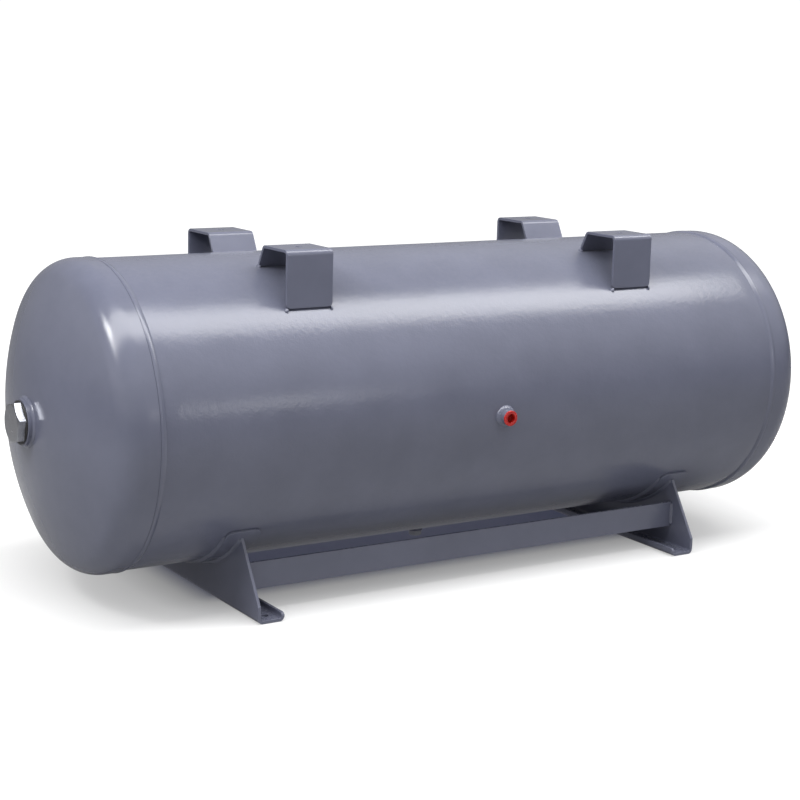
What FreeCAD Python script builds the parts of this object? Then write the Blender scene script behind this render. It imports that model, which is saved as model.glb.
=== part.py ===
import FreeCAD, Part

import math
import os
import re

import Sketcher
from FreeCAD import Placement, Rotation, Vector

# A horizontal pressure tank of about 270 litres: a rolled steel shell with two dished heads, carried
# on two bent-plate feet, with four bent-plate brackets on top for a pump or compressor set.
#
# Frame: millimetres, X along the tank, -Y the front, +Z up. The origin lies on the floor, at the
# centre of the rectangle of the four foot bolts.

os.makedirs("parts", exist_ok=True)
doc = FreeCAD.newDocument("pressure_tank")

# ---------------------------------------------------------------- driving dimensions
# Alias, size in millimetres (or degrees where it says so), what the size measures.
DIMENSIONS = [
    ("seat_gap", 0.2, "clearance between curved or fitted faces that bear on each other"),
    ("ground_clearance", 54, "floor to the shell's lowest line"),
    ("shell_od", 500, "outside diameter of the shell"),
    ("shell_wall", 3, "shell plate"),
    ("seam_spacing", 1226, "one girth seam to the other"),
    ("swage_run", 8, "length over which each end of the shell is drawn in"),
    ("lap_length", 12, "how far the shell laps inside each head"),
    ("head_wall", 3.5, "head plate"),
    ("head_stand", 2, "how far a head's skirt stands proud of the shell"),
    ("skirt_length", 18, "straight skirt of a head"),
    ("knuckle_radius", 50, "outside radius of a head's knuckle"),
    ("crown_radius", 500, "outside radius of a head's crown"),
    ("girth_bead", 10, "width of a girth weld"),
    ("girth_crown", 0.5, "how far a girth weld stands above the skirt"),
    ("seam_bead", 7, "width of the shell's lengthwise weld"),
    ("seam_crown", 0.9, "height of the shell's lengthwise weld"),
    ("seam_angle", 250, "degrees from straight up to the lengthwise weld, round by the front"),
    ("end_bore", 57, "bore of the socket in the middle of a head"),
    ("end_wall", 9.5, "wall of that socket"),
    ("end_stand", 8, "how far that socket stands out of the crown"),
    ("end_inset", 14, "how far that socket reaches inside the crown"),
    ("end_bead", 4, "leg of the weld round that socket"),
    ("gasket_width", 6, "ring width of the flat gasket under an end plug"),
    ("gasket_thickness", 2, "thickness of that gasket"),
    ("end_hex_margin", 3, "how much wider than its bore an end plug is across its flats"),
    ("end_hex_height", 13, "height of its hexagon"),
    ("end_shank", 18, "length of its shank"),
    ("end_plug_turn", 14, "degrees that its front corner stands up from level"),
    ("port_bore", 18.6, "bore of the side and drain sockets"),
    ("port_wall", 3.7, "wall of those sockets"),
    ("port_stand", 13, "how far those sockets stand out of the shell"),
    ("port_inset", 6, "how far those sockets reach inside the shell's outer face"),
    ("port_bead", 6, "leg of the weld round those sockets"),
    ("side_port_along", 11, "from the tank's middle to the side socket, towards the right end"),
    ("side_port_drop", 2.3, "degrees from level down to the side socket"),
    ("cap_rim", 3, "thickness of the plastic thread cap's rim, which covers its socket's mouth"),
    ("cap_depth", 10, "how far the cap reaches into its socket"),
    ("cap_wall", 1.35, "wall of the cap's cup"),
    ("cap_floor", 1.5, "floor of the cap"),
    ("drain_hex_margin", 3.4, "how much wider than its bore the drain plug is across its flats"),
    ("drain_hex_height", 9, "height of its hexagon"),
    ("drain_shank", 12, "length of its shank"),
    ("hex_chamfer", 1.6, "chamfer on the outer corners of a hexagon"),
    ("foot_bolts_along", 839, "foot bolts, left to right"),
    ("foot_bolts_across", 434, "foot bolts, front to back"),
    ("foot_hole", 12, "foot bolt holes"),
    ("foot_plate", 5, "plate of the feet"),
    ("foot_length", 484, "length of a foot, front to back"),
    ("foot_width", 47, "width of a foot's base"),
    ("foot_edge", 24.5, "from the bolt holes out to the web's outer face"),
    ("foot_lip", 14, "height of the turned-up lip above the floor"),
    ("foot_bend", 4, "inside radius of the bends in a foot"),
    ("lip_corner", 6, "rounding of the lip's ends"),
    ("web_shoulder", 28, "height at which the web's ends start to slope"),
    ("web_top_width", 362, "width of the web where it meets its pad"),
    ("pad_thickness", 4, "wear pad"),
    ("pad_width", 62, "wear pad, along the tank"),
    ("pad_overhang", 18, "how far the pad runs on past the web, round the shell"),
    ("pad_corner", 14, "corner radius of the pad"),
    ("pad_bead", 3, "leg of the pad's welds"),
    ("web_bead", 4, "leg of the welds between web and pad"),
    ("tie_height", 45, "flat bar between the feet"),
    ("tie_plate", 6, "thickness of that bar"),
    ("tie_floor", 39, "floor to the bar's lower edge"),
    ("tie_spacing", 370, "outer face of the front bar to that of the back bar"),
    ("tie_edge", 0.8, "rolled edge radius of that bar"),
    ("tie_bead", 4, "leg of the welds at the bar's ends"),
    ("bracket_spacing", 648, "left brackets to right brackets, middle to middle"),
    ("bracket_width", 83, "a bracket, along the tank"),
    ("bracket_plate", 5, "plate of the brackets"),
    ("bracket_rise", 23, "shell's top line to the bracket's top face"),
    ("bracket_outer", 356, "across the outer legs of front and back brackets"),
    ("bracket_top_width", 81, "a bracket's top, front to back"),
    ("bracket_lean", 28, "degrees that the inner leg leans"),
    ("bracket_bend", 4, "inside radius of the bends in a bracket"),
    ("bracket_corner", 7, "rounding of the lower corners of its legs"),
    ("bracket_hole", 13, "bolt hole in a bracket's top"),
    ("bracket_bead", 5, "leg of the welds at the ends of its legs"),
    ("bracket_bead_run", 14, "length of those welds, round the shell"),
]
ALIASES = {alias for alias, size, meaning in DIMENSIONS}

# Places that several pieces share, as expressions on the sheet.
AXIS_HEIGHT = "(ground_clearance + shell_od / 2)"
SEAT_R = "(shell_od / 2 + seat_gap)"
SEAM = "(seam_spacing / 2)"
SKIRT_R = "(shell_od / 2 + head_stand)"
LAP_R = f"({SKIRT_R} - head_wall - seat_gap)"
CROWN_BACK = f"sqrt((crown_radius - knuckle_radius)^2 - ({SKIRT_R} - knuckle_radius)^2)"
POLE = f"({SEAM} + skirt_length - {CROWN_BACK} + crown_radius)"
END_SOCKET_R = "(end_bore / 2 + end_wall)"
PORT_R = "(port_bore / 2 + port_wall)"
PAD_R = f"({SEAT_R} + pad_thickness)"
WEB_SEAT_R = f"({PAD_R} + seat_gap)"
WEB_OUTER = "(foot_bolts_along / 2 + foot_edge)"
WEB_INNER = f"({WEB_OUTER} - foot_plate)"
WEB_ARC = f"asin(web_top_width / 2 / {WEB_SEAT_R})"
PAD_ARC = f"({WEB_ARC} + pad_overhang / {PAD_R} * 1 rad)"
BRACKET_TOP = "(shell_od / 2 + bracket_rise)"
BRACKET_OUTER = "(bracket_outer / 2)"
BRACKET_INNER = "(bracket_outer / 2 - bracket_top_width)"
LEAN_SIN = "sin(bracket_lean * 1 deg)"
LEAN_COS = "cos(bracket_lean * 1 deg)"
LEAN_START = f"(-{BRACKET_INNER} - bracket_plate / {LEAN_COS})"

# The sketcher's names for the points of a line or arc, and for its two axes.
START = 1
END = 2
CENTRE = 3
ORIGIN = -1
H_AXIS = -1
V_AXIS = -2

NEAR = 0.01
TURNED = Rotation(Vector(0, 0, 1), 180)
OUT_FRONT = Rotation(Vector(0, -1, 0), Vector(1, 0, 0), Vector(0, 0, 1), "XYZ")
OUT_BELOW = Rotation(Vector(0, 0, -1), Vector(1, 0, 0), Vector(0, -1, 0), "XYZ")


# ---------------------------------------------------------------- the sheet and its expressions
def driving_sheet():
    """Write the driving dimensions, one a row, with an alias on each number."""
    table = doc.addObject("Spreadsheet::Sheet", "dims")
    for row, (alias, size, meaning) in enumerate(DIMENSIONS, 1):
        table.set(f"A{row}", alias)
        table.set(f"B{row}", str(size))
        table.set(f"C{row}", meaning)
        table.setAlias(f"B{row}", alias)
    doc.recompute()
    return table


def on_sheet(text):
    """The expression with the sheet named before each alias."""
    def named(word):
        return f"dims.{word.group()}" if word.group() in ALIASES else word.group()
    return re.sub(r"[a-z][a-z_]*", named, text)


def bind(feature, prop, text):
    feature.setExpression(prop, on_sheet(text))


def value(text):
    """The number that an expression gives now."""
    result = sheet.evalExpression(on_sheet(text))
    return float(getattr(result, "Value", result))


# ---------------------------------------------------------------- sketches
def new_body(label):
    body = doc.addObject("PartDesign::Body", label)
    body.Label = label
    body.AllowCompound = True
    return body


def place(body, turn=Rotation(), along="0", across="0", up="0"):
    """Put a body where it belongs on the tank."""
    body.Placement = Placement(Vector(), turn)
    for axis, text in zip("xyz", (along, across, up)):
        bind(body, f"Placement.Base.{axis}", text)


def about_axis(text):
    """A turn about the tank's axis by an angle on the sheet; a positive one lowers the front."""
    return Rotation(Vector(1, 0, 0), value(text))


def sketch_on(body, name, plane):
    """Start a sketch on one of the body's own origin planes."""
    sketch = body.newObject("Sketcher::SketchObject", name)
    support = next(item for item in body.Origin.OriginFeatures if item.Role == plane)
    sketch.AttachmentSupport = [(support, "")]
    sketch.MapMode = "FlatFace"
    return sketch


def constrain(sketch, *parts):
    return sketch.addConstraint(Sketcher.Constraint(*parts))


def measure(sketch, text, *parts):
    """Add a dimension whose size is an expression on the sheet."""
    index = constrain(sketch, *parts, value(text))
    bind(sketch, f"Constraints[{index}]", text)


def pin(sketch, item, point, across, up):
    """Fix a point of the sketch at (across, up)."""
    for kind, text, axis in (("DistanceX", across, V_AXIS), ("DistanceY", up, H_AXIS)):
        if text == "0":
            constrain(sketch, "PointOnObject", item, point, axis)
        else:
            measure(sketch, text, kind, ORIGIN, START, item, point)


def outline(sketch, corners):
    """Close straight lines through the corners, each an (across, up) pair of expressions."""
    points = [Vector(value(across), value(up), 0) for across, up in corners]
    first = sketch.GeometryCount
    for start, end in zip(points, points[1:] + points[:1]):
        sketch.addGeometry(Part.LineSegment(start, end))
    for index, (across, up) in enumerate(corners):
        follower = first + (index + 1) % len(corners)
        constrain(sketch, "Coincident", first + index, END, follower, START)
        pin(sketch, first + index, START, across, up)


def circle(sketch, across, up, radius):
    centre = Vector(value(across), value(up), 0)
    item = sketch.addGeometry(Part.Circle(centre, Vector(0, 0, 1), value(radius)))
    pin(sketch, item, CENTRE, across, up)
    measure(sketch, radius, "Radius", item)


# ---------------------------------------------------------------- features
def pad(body, sketch, length):
    """Thicken a sketch by length, half to each side of its plane."""
    feature = body.newObject("PartDesign::Pad", "pad")
    feature.Profile = sketch
    feature.SideType = "Symmetric"
    bind(feature, "Length", length)
    return feature


def pocket(body, sketch, side):
    """Cut a sketch right through; side is both, ahead (along its normal) or behind."""
    feature = body.newObject("PartDesign::Pocket", "pocket")
    feature.Profile = sketch
    feature.Type = "ThroughAll"
    feature.SideType = "Symmetric" if side == "both" else "One side"
    feature.Reversed = side == "ahead"
    return feature


def revolve(body, sketch, angle="360"):
    """Turn a sketch about its horizontal axis, half of the angle to each side."""
    feature = body.newObject("PartDesign::Revolution", "revolution")
    feature.Profile = sketch
    feature.ReferenceAxis = (sketch, ["H_Axis"])
    feature.Midplane = True
    bind(feature, "Angle", angle)
    return feature


def groove(body, sketch):
    """Cut a sketch away right round its horizontal axis."""
    feature = body.newObject("PartDesign::Groove", "groove")
    feature.Profile = sketch
    feature.ReferenceAxis = (sketch, ["H_Axis"])
    feature.Angle = 360
    return feature


def fillet(body, radius, wanted):
    """Round the edges of the body so far that wanted picks."""
    doc.recompute()
    base = body.Tip
    names = [f"Edge{index}" for index, edge in enumerate(base.Shape.Edges, 1) if wanted(edge)]
    feature = body.newObject("PartDesign::Fillet", "fillet")
    feature.Base = (base, names)
    bind(feature, "Radius", radius)


def stands_at(edge, axes, corners):
    """Whether both ends of an edge stand at one of the corners, as read along two axes."""
    ends = [[getattr(vertex.Point, axis) for axis in axes] for vertex in edge.Vertexes]
    places = [(value(first), value(second)) for first, second in corners]
    return any(all(math.dist(end, corner) < NEAR for end in ends) for corner in places)


def crosses(edge, axes, first, second):
    """Whether an edge runs from one place to another, as read along two axes."""
    ends = [[getattr(vertex.Point, axis) for axis in axes] for vertex in edge.Vertexes]
    places = [[value(across), value(up)] for across, up in (first, second)]
    return any(
        math.dist(ends[0], places[order]) < NEAR and math.dist(ends[-1], places[1 - order]) < NEAR
        for order in (0, 1)
    )


def ring(label, corners):
    """A turned piece about its local X axis."""
    body = new_body(label)
    profile = sketch_on(body, "profile", "XZ_Plane")
    outline(profile, corners)
    revolve(body, profile)
    return body


# ---------------------------------------------------------------- shell and heads
def shell():
    """The rolled tube. Each end is drawn in, to lap inside its head."""
    body = new_body("shell")
    end = f"({SEAM} + lap_length)"
    run = f"({SEAM} - swage_run)"
    right = [(run, "(shell_od / 2)"), (SEAM, LAP_R), (end, LAP_R)]
    left = [(f"-{along}", radius) for along, radius in reversed(right)]
    outer = left + right
    inner = [(along, f"{radius} - shell_wall") for along, radius in reversed(outer)]
    profile = sketch_on(body, "wall_profile", "XZ_Plane")
    outline(profile, outer + inner)
    revolve(body, profile)
    side_hole = sketch_on(body, "side_hole", "XZ_Plane")
    side_hole.AttachmentOffset = Placement(Vector(), about_axis("side_port_drop"))
    circle(side_hole, "side_port_along", "0", f"{PORT_R} + seat_gap")
    pocket(body, side_hole, "ahead")
    drain_hole = sketch_on(body, "drain_hole", "XY_Plane")
    circle(drain_hole, "0", "0", f"{PORT_R} + seat_gap")
    pocket(body, drain_hole, "behind")
    place(body, up=AXIS_HEIGHT)


def head_curves():
    """A head's section: skirt, knuckle and crown outside, the same inside, and two ends.

    They start where the section's constraints will leave them.
    """
    skirt_r = value(SKIRT_R)
    wall = value("head_wall")
    knuckle = value("knuckle_radius")
    crown = value("crown_radius")
    tangent = value(f"{SEAM} + skirt_length")
    hole = value(f"{END_SOCKET_R} + seat_gap")
    knuckle_centre = Vector(tangent, skirt_r - knuckle, 0)
    crown_centre = Vector(value(POLE) - crown, 0, 0)
    slope = math.atan2(knuckle_centre.y, knuckle_centre.x - crown_centre.x)
    up = Vector(0, 0, 1)

    def line(start_x, start_y, end_x, end_y):
        return Part.LineSegment(Vector(start_x, start_y, 0), Vector(end_x, end_y, 0))

    def arc(centre, radius, low, high):
        return Part.ArcOfCircle(Part.Circle(centre, up, radius), low, high)

    def crown_at(radius):
        return crown_centre.x + math.sqrt(radius ** 2 - hole ** 2)

    seam = value(SEAM)
    inner_crown = crown - wall
    return [
        line(seam, skirt_r, tangent, skirt_r),
        arc(knuckle_centre, knuckle, slope, math.pi / 2),
        arc(crown_centre, crown, math.asin(hole / crown), slope),
        line(crown_at(crown), hole, crown_at(inner_crown), hole),
        arc(crown_centre, inner_crown, math.asin(hole / inner_crown), slope),
        arc(knuckle_centre, knuckle - wall, slope, math.pi / 2),
        line(tangent, skirt_r - wall, seam, skirt_r - wall),
        line(seam, skirt_r - wall, seam, skirt_r),
    ]


def head(label, turn):
    """A dished head: straight skirt, knuckle and crown, pierced for its socket."""
    body = new_body(label)
    section = sketch_on(body, "section", "XZ_Plane")
    for curve in head_curves():
        section.addGeometry(curve)
    skirt, knuckle, crown, hole, crown_in, knuckle_in, skirt_in, rim = range(8)
    constrain(section, "Tangent", skirt, END, knuckle, END)
    constrain(section, "Tangent", knuckle, START, crown, END)
    constrain(section, "Coincident", crown, START, hole, START)
    constrain(section, "Coincident", hole, END, crown_in, START)
    constrain(section, "Tangent", crown_in, END, knuckle_in, START)
    constrain(section, "Tangent", knuckle_in, END, skirt_in, START)
    constrain(section, "Coincident", skirt_in, END, rim, START)
    constrain(section, "Coincident", rim, END, skirt, START)
    for item in (skirt, hole, skirt_in):
        constrain(section, "Horizontal", item)
    constrain(section, "Vertical", rim)
    constrain(section, "PointOnObject", crown, CENTRE, H_AXIS)
    constrain(section, "Coincident", crown, CENTRE, crown_in, CENTRE)
    constrain(section, "Coincident", knuckle, CENTRE, knuckle_in, CENTRE)
    pin(section, skirt, START, SEAM, SKIRT_R)
    measure(section, "skirt_length", "DistanceX", skirt, START, skirt, END)
    measure(section, "head_wall", "DistanceY", rim, START, rim, END)
    measure(section, f"{END_SOCKET_R} + seat_gap", "DistanceY", ORIGIN, START, hole, START)
    measure(section, "knuckle_radius", "Radius", knuckle)
    measure(section, "crown_radius", "Radius", crown)
    revolve(body, section)
    place(body, turn, up=AXIS_HEIGHT)


def girth_weld(label, turn):
    """The bead round a girth seam. It fills the notch that the drawn-in shell leaves."""
    edge = f"({SEAM} - seat_gap)"
    body = ring(label, [
        (edge, f"{LAP_R} + seat_gap * 2"),
        (edge, SKIRT_R),
        (f"{SEAM} - girth_bead / 3", f"{SKIRT_R} + girth_crown"),
        (f"{SEAM} - girth_bead * 2 / 3", f"{SKIRT_R} - head_stand / 3"),
        (f"{SEAM} - girth_bead", f"{SEAT_R} + seat_gap"),
        (f"{SEAM} - girth_bead", SEAT_R),
        (f"{SEAM} - swage_run", SEAT_R),
    ])
    place(body, turn, up=AXIS_HEIGHT)


def seam_weld():
    """The low bead along the rolled plate's joint, behind and below."""
    body = new_body("shell_seam_weld")
    section = sketch_on(body, "section", "YZ_Plane")
    outline(section, [
        ("-seam_bead / 2", f"{SEAT_R}"),
        ("-seam_bead / 4", f"{SEAT_R} + seam_crown"),
        ("seam_bead / 4", f"{SEAT_R} + seam_crown"),
        ("seam_bead / 2", f"{SEAT_R}"),
    ])
    pad(body, section, f"2 * ({SEAM} - girth_bead - seat_gap)")
    place(body, about_axis("seam_angle"), up=AXIS_HEIGHT)


# ---------------------------------------------------------------- ports
# A port is built with its mouth along local +X and its origin on the surface that it stands on.
def place_at_pole(body, right, spin=Rotation()):
    """Put a port's piece at the crown of the right or the left head."""
    turn = Rotation() if right else TURNED
    place(body, spin * turn, along=POLE if right else f"-{POLE}", up=AXIS_HEIGHT)


def place_in_front(body):
    place(
        body,
        about_axis("side_port_drop") * OUT_FRONT,
        along="side_port_along",
        across="-shell_od / 2 * cos(side_port_drop * 1 deg)",
        up=f"{AXIS_HEIGHT} - shell_od / 2 * sin(side_port_drop * 1 deg)",
    )


def place_below(body):
    place(body, OUT_BELOW, up="ground_clearance")


def washer(label, bore, outer, back, face):
    """A plain ring from back to face: a socket that is bored through, or a gasket."""
    return ring(label, [
        (back, f"{bore} / 2"),
        (back, outer),
        (face, outer),
        (face, f"{bore} / 2"),
    ])


def end_socket_weld(label):
    """The fillet weld between an end socket and the crown."""
    inner = f"({END_SOCKET_R} + seat_gap)"
    outer = f"({inner} + end_bead)"
    crown_at_inner = f"sqrt(crown_radius^2 - {inner}^2) - crown_radius + seat_gap"
    crown_at_outer = f"sqrt(crown_radius^2 - {outer}^2) - crown_radius + seat_gap"
    return ring(label, [
        (crown_at_inner, inner),
        (crown_at_outer, outer),
        (f"{crown_at_outer} + end_bead / 2", f"{outer} - end_bead / 3"),
        (f"{crown_at_inner} + end_bead", inner),
    ])


def port_weld(label):
    """The fillet weld between a small socket and the round of the shell."""
    inner = f"({PORT_R} + seat_gap)"
    outer = f"({inner} + port_bead)"
    body = ring(label, [
        ("-port_inset / 2", inner),
        ("-port_inset / 2", outer),
        ("seat_gap", outer),
        ("port_bead / 2", f"{outer} - port_bead / 3"),
        ("port_bead", inner),
    ])
    saddle = sketch_on(body, "saddle", "XZ_Plane")
    circle(saddle, "-shell_od / 2", "0", SEAT_R)
    pocket(body, saddle, "both")
    return body


def hex_plug(label, hexagon, height, bore, shank, seat):
    """A hexagon plug: round shank in the bore, hexagon above its seat, chamfered corners."""
    top = f"({seat} + {height})"
    corner_r = f"({hexagon} / sqrt(3))"
    body = ring(label, [
        (f"{seat} - {shank}", "0"),
        (f"{seat} - {shank}", f"{bore} / 2 - seat_gap"),
        (seat, f"{bore} / 2 - seat_gap"),
        (seat, "0"),
    ])
    flats = sketch_on(body, "flats", "YZ_Plane")
    bind(flats, "AttachmentOffset.Base.z", f"{seat} + {height} / 2")
    outline(flats, [
        (corner_r, "0"),
        (f"{corner_r} / 2", f"{hexagon} / 2"),
        (f"-{corner_r} / 2", f"{hexagon} / 2"),
        (f"-{corner_r}", "0"),
        (f"-{corner_r} / 2", f"-{hexagon} / 2"),
        (f"{corner_r} / 2", f"-{hexagon} / 2"),
    ])
    pad(body, flats, height)
    chamfer = sketch_on(body, "chamfer", "XZ_Plane")
    outline(chamfer, [
        (top, f"{hexagon} / 2 - hex_chamfer"),
        (f"{top} + hex_chamfer", f"{hexagon} / 2 - hex_chamfer"),
        (f"{top} + hex_chamfer", f"{corner_r} + hex_chamfer"),
        (f"{top} - hex_chamfer * 2", f"{corner_r} + hex_chamfer"),
    ])
    groove(body, chamfer)
    return body


def end_port(side):
    """Socket, weld, gasket and plug in the middle of one head."""
    right = side == "right"
    seat = "(end_stand + gasket_thickness)"
    pieces = [
        washer(f"end_socket_{side}", "end_bore", END_SOCKET_R, "-end_inset", "end_stand"),
        end_socket_weld(f"end_socket_weld_{side}"),
        washer(f"end_gasket_{side}", "end_bore", "end_bore / 2 + gasket_width", "end_stand", seat),
    ]
    for piece in pieces:
        place_at_pole(piece, right)
    plug = hex_plug(f"end_plug_{side}", "(end_bore + end_hex_margin)", "end_hex_height", "end_bore",
                    "end_shank", seat)
    place_at_pole(plug, right, about_axis("-end_plug_turn"))


def thread_cap(label):
    """A plastic cap pushed into a socket: rim outside, hollow cup inside."""
    rim = "(port_stand + cap_rim)"
    cup_r = "(port_bore / 2 - seat_gap)"
    hollow_r = f"({cup_r} - cap_wall)"
    return ring(label, [
        ("port_stand - cap_depth", "0"),
        ("port_stand - cap_depth", cup_r),
        ("port_stand", cup_r),
        ("port_stand", PORT_R),
        (f"{rim} - cap_rim / 4", PORT_R),
        (rim, f"{PORT_R} - cap_rim / 4"),
        (rim, hollow_r),
        ("port_stand - cap_depth + cap_floor", hollow_r),
        ("port_stand - cap_depth + cap_floor", "0"),
    ])


def side_port():
    """Socket, weld and thread cap a little below the middle of the front."""
    place_in_front(washer("side_socket", "port_bore", PORT_R, "-port_inset", "port_stand"))
    place_in_front(port_weld("side_socket_weld"))
    place_in_front(thread_cap("side_cap"))


def drain_port():
    """Socket, weld and plug at the lowest point of the shell."""
    place_below(washer("drain_socket", "port_bore", PORT_R, "-port_inset", "port_stand"))
    place_below(port_weld("drain_weld"))
    place_below(hex_plug("drain_plug", "(port_bore + drain_hex_margin)", "drain_hex_height",
                         "port_bore", "drain_shank", "port_stand"))


# ---------------------------------------------------------------- feet
# A foot is built for the right end, with its origin on the floor between its two bolt holes.
def foot(label, turn, along):
    """A foot bent from one plate: web outside, base flange inward, lip turned up."""
    body = new_body(label)
    inner_edge = "(foot_edge - foot_width)"
    section = sketch_on(body, "section", "XZ_Plane")
    outline(section, [
        ("foot_edge", "0"),
        (inner_edge, "0"),
        (inner_edge, "foot_lip"),
        (f"{inner_edge} + foot_plate", "foot_lip"),
        (f"{inner_edge} + foot_plate", "foot_plate"),
        ("foot_edge - foot_plate", "foot_plate"),
        ("foot_edge - foot_plate", AXIS_HEIGHT),
        ("foot_edge", AXIS_HEIGHT),
    ])
    pad(body, section, "foot_length")
    outside = [("foot_edge", "0"), (inner_edge, "0")]
    inside = [("foot_edge - foot_plate", "foot_plate"), (f"{inner_edge} + foot_plate", "foot_plate")]
    fillet(body, "foot_bend + foot_plate", lambda edge: stands_at(edge, "xz", outside))
    fillet(body, "foot_bend", lambda edge: stands_at(edge, "xz", inside))
    lip_ends = [("foot_length / 2", "foot_lip"), ("-foot_length / 2", "foot_lip")]
    fillet(body, "lip_corner", lambda edge: stands_at(edge, "yz", lip_ends))
    trim_web(body)
    holes = sketch_on(body, "bolt_holes", "XY_Plane")
    circle(holes, "0", "foot_bolts_across / 2", "foot_hole / 2")
    circle(holes, "0", "-foot_bolts_across / 2", "foot_hole / 2")
    pocket(body, holes, "ahead")
    place(body, turn, along=along)


def trim_web(body):
    """Slope the web's ends and saddle its top to the pad."""
    ends = sketch_on(body, "sloped_ends", "YZ_Plane")
    web_top = f"({AXIS_HEIGHT} - sqrt({WEB_SEAT_R}^2 - (web_top_width / 2)^2))"
    past_end = "(foot_length / 2 + foot_plate)"
    for sign in ("", "-"):
        outline(ends, [
            (f"{sign}foot_length / 2", "web_shoulder"),
            (f"{sign}web_top_width / 2", web_top),
            (f"{sign}web_top_width / 2", f"{AXIS_HEIGHT} + foot_plate"),
            (f"{sign}{past_end}", f"{AXIS_HEIGHT} + foot_plate"),
            (f"{sign}{past_end}", "web_shoulder"),
        ])
    pocket(body, ends, "both")
    saddle = sketch_on(body, "saddle", "YZ_Plane")
    circle(saddle, "0", AXIS_HEIGHT, WEB_SEAT_R)
    pocket(body, saddle, "both")


def hung_band(label, corners, angle):
    """A band revolved to lie under the shell; corners are (along, radius) pairs."""
    body = new_body(label)
    section = sketch_on(body, "section", "XZ_Plane")
    for shape in corners:
        outline(section, [(along, f"-{radius}") for along, radius in shape])
    revolve(body, section, angle)
    return body


def bead_corners(face, radius, leg):
    """A fillet weld's triangle against a face that looks along +X or, with a leg of minus, -X."""
    return [
        (face, radius),
        (f"{face} + {leg}", radius),
        (face, f"({radius} + abs({leg}))"),
    ]


def foot_pad(label, along):
    """The wear pad between web and shell, with rounded corners."""
    half = "(pad_width / 2)"
    body = hung_band(label, [[
        (f"-{half}", SEAT_R),
        (half, SEAT_R),
        (half, PAD_R),
        (f"-{half}", PAD_R),
    ]], f"2 * {PAD_ARC}")
    thickness = value("pad_thickness")
    fillet(body, "pad_corner", lambda edge: abs(edge.Length - thickness) < NEAR)
    place(body, along=along, up=AXIS_HEIGHT)


def pad_weld(label, along):
    """The two long welds of a wear pad, one down each side."""
    face = "(pad_width / 2 + seat_gap)"
    body = hung_band(label, [
        bead_corners(face, SEAT_R, "pad_bead"),
        bead_corners(f"-{face}", SEAT_R, "-pad_bead"),
    ], f"2 * ({PAD_ARC} - pad_corner / {PAD_R} * 1 rad)")
    place(body, along=along, up=AXIS_HEIGHT)


def foot_weld(label, along):
    """The welds between web and pad, one down each face of the web."""
    face = "(foot_plate / 2 + seat_gap)"
    body = hung_band(label, [
        bead_corners(face, WEB_SEAT_R, "web_bead"),
        bead_corners(f"-{face}", WEB_SEAT_R, "-web_bead"),
    ], f"2 * {WEB_ARC} - 1 deg")
    place(body, along=along, up=AXIS_HEIGHT)


def feet():
    web_middle = f"({WEB_OUTER} - foot_plate / 2)"
    for side, turn, sign in (("left", TURNED, "-"), ("right", Rotation(), "")):
        foot(f"foot_{side}", turn, f"{sign}foot_bolts_along / 2")
        foot_pad(f"foot_pad_{side}", f"{sign}{web_middle}")
        pad_weld(f"foot_pad_weld_{side}", f"{sign}{web_middle}")
        foot_weld(f"foot_weld_{side}", f"{sign}{web_middle}")


# ---------------------------------------------------------------- tie bars
# A tie bar is built for the front, on the tank's own origin.
def tie_bar(label, turn):
    """A flat bar between the webs of the two feet."""
    body = new_body(label)
    section = sketch_on(body, "section", "YZ_Plane")
    outline(section, [
        ("-tie_spacing / 2", "tie_floor"),
        ("-tie_spacing / 2 + tie_plate", "tie_floor"),
        ("-tie_spacing / 2 + tie_plate", "tie_floor + tie_height"),
        ("-tie_spacing / 2", "tie_floor + tie_height"),
    ])
    length = f"2 * ({WEB_INNER} - seat_gap)"
    pad(body, section, length)
    along = value(length)
    fillet(body, "tie_edge", lambda edge: abs(edge.Length - along) < NEAR)
    place(body, turn)


def tie_weld(label, turn):
    """The upright welds at the two ends of a tie bar."""
    body = new_body(label)
    plan = sketch_on(body, "plan", "XY_Plane")
    bind(plan, "AttachmentOffset.Base.z", "tie_floor + tie_height / 2")
    face = "(-tie_spacing / 2 - seat_gap)"
    for sign in ("", "-"):
        outline(plan, [
            (f"{sign}({WEB_INNER} - seat_gap)", face),
            (f"{sign}({WEB_INNER} - seat_gap)", f"{face} - tie_bead"),
            (f"{sign}({WEB_INNER} - seat_gap - tie_bead)", face),
        ])
    pad(body, plan, "tie_height - tie_bead")
    place(body, turn)


# ---------------------------------------------------------------- brackets
# A bracket is built for the front, on the tank's axis, at the middle of its own width.
def leg_ends():
    """The inside and outside corners of the outer leg's end, then of the inner leg's.

    The legs end square, and the inside corner of each bears on the shell.
    """
    outer = f"-{BRACKET_OUTER}"
    outer_in = f"({outer} + bracket_plate)"
    outer_end = f"sqrt({SEAT_R}^2 - {outer_in}^2)"
    middle = f"({BRACKET_TOP} * {LEAN_COS} - {LEAN_START} * {LEAN_SIN})"
    beyond = f"({LEAN_START}^2 + {BRACKET_TOP}^2 - {SEAT_R}^2)"
    reach = f"({middle} - sqrt({middle}^2 - {beyond}))"
    across = f"({LEAN_START} + {reach} * {LEAN_SIN})"
    up = f"({BRACKET_TOP} - {reach} * {LEAN_COS})"
    return [
        ((outer_in, outer_end), (outer, outer_end)),
        ((across, up), (f"({across} + bracket_plate * {LEAN_COS})", f"{up} + bracket_plate * {LEAN_SIN}")),
    ]


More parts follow.
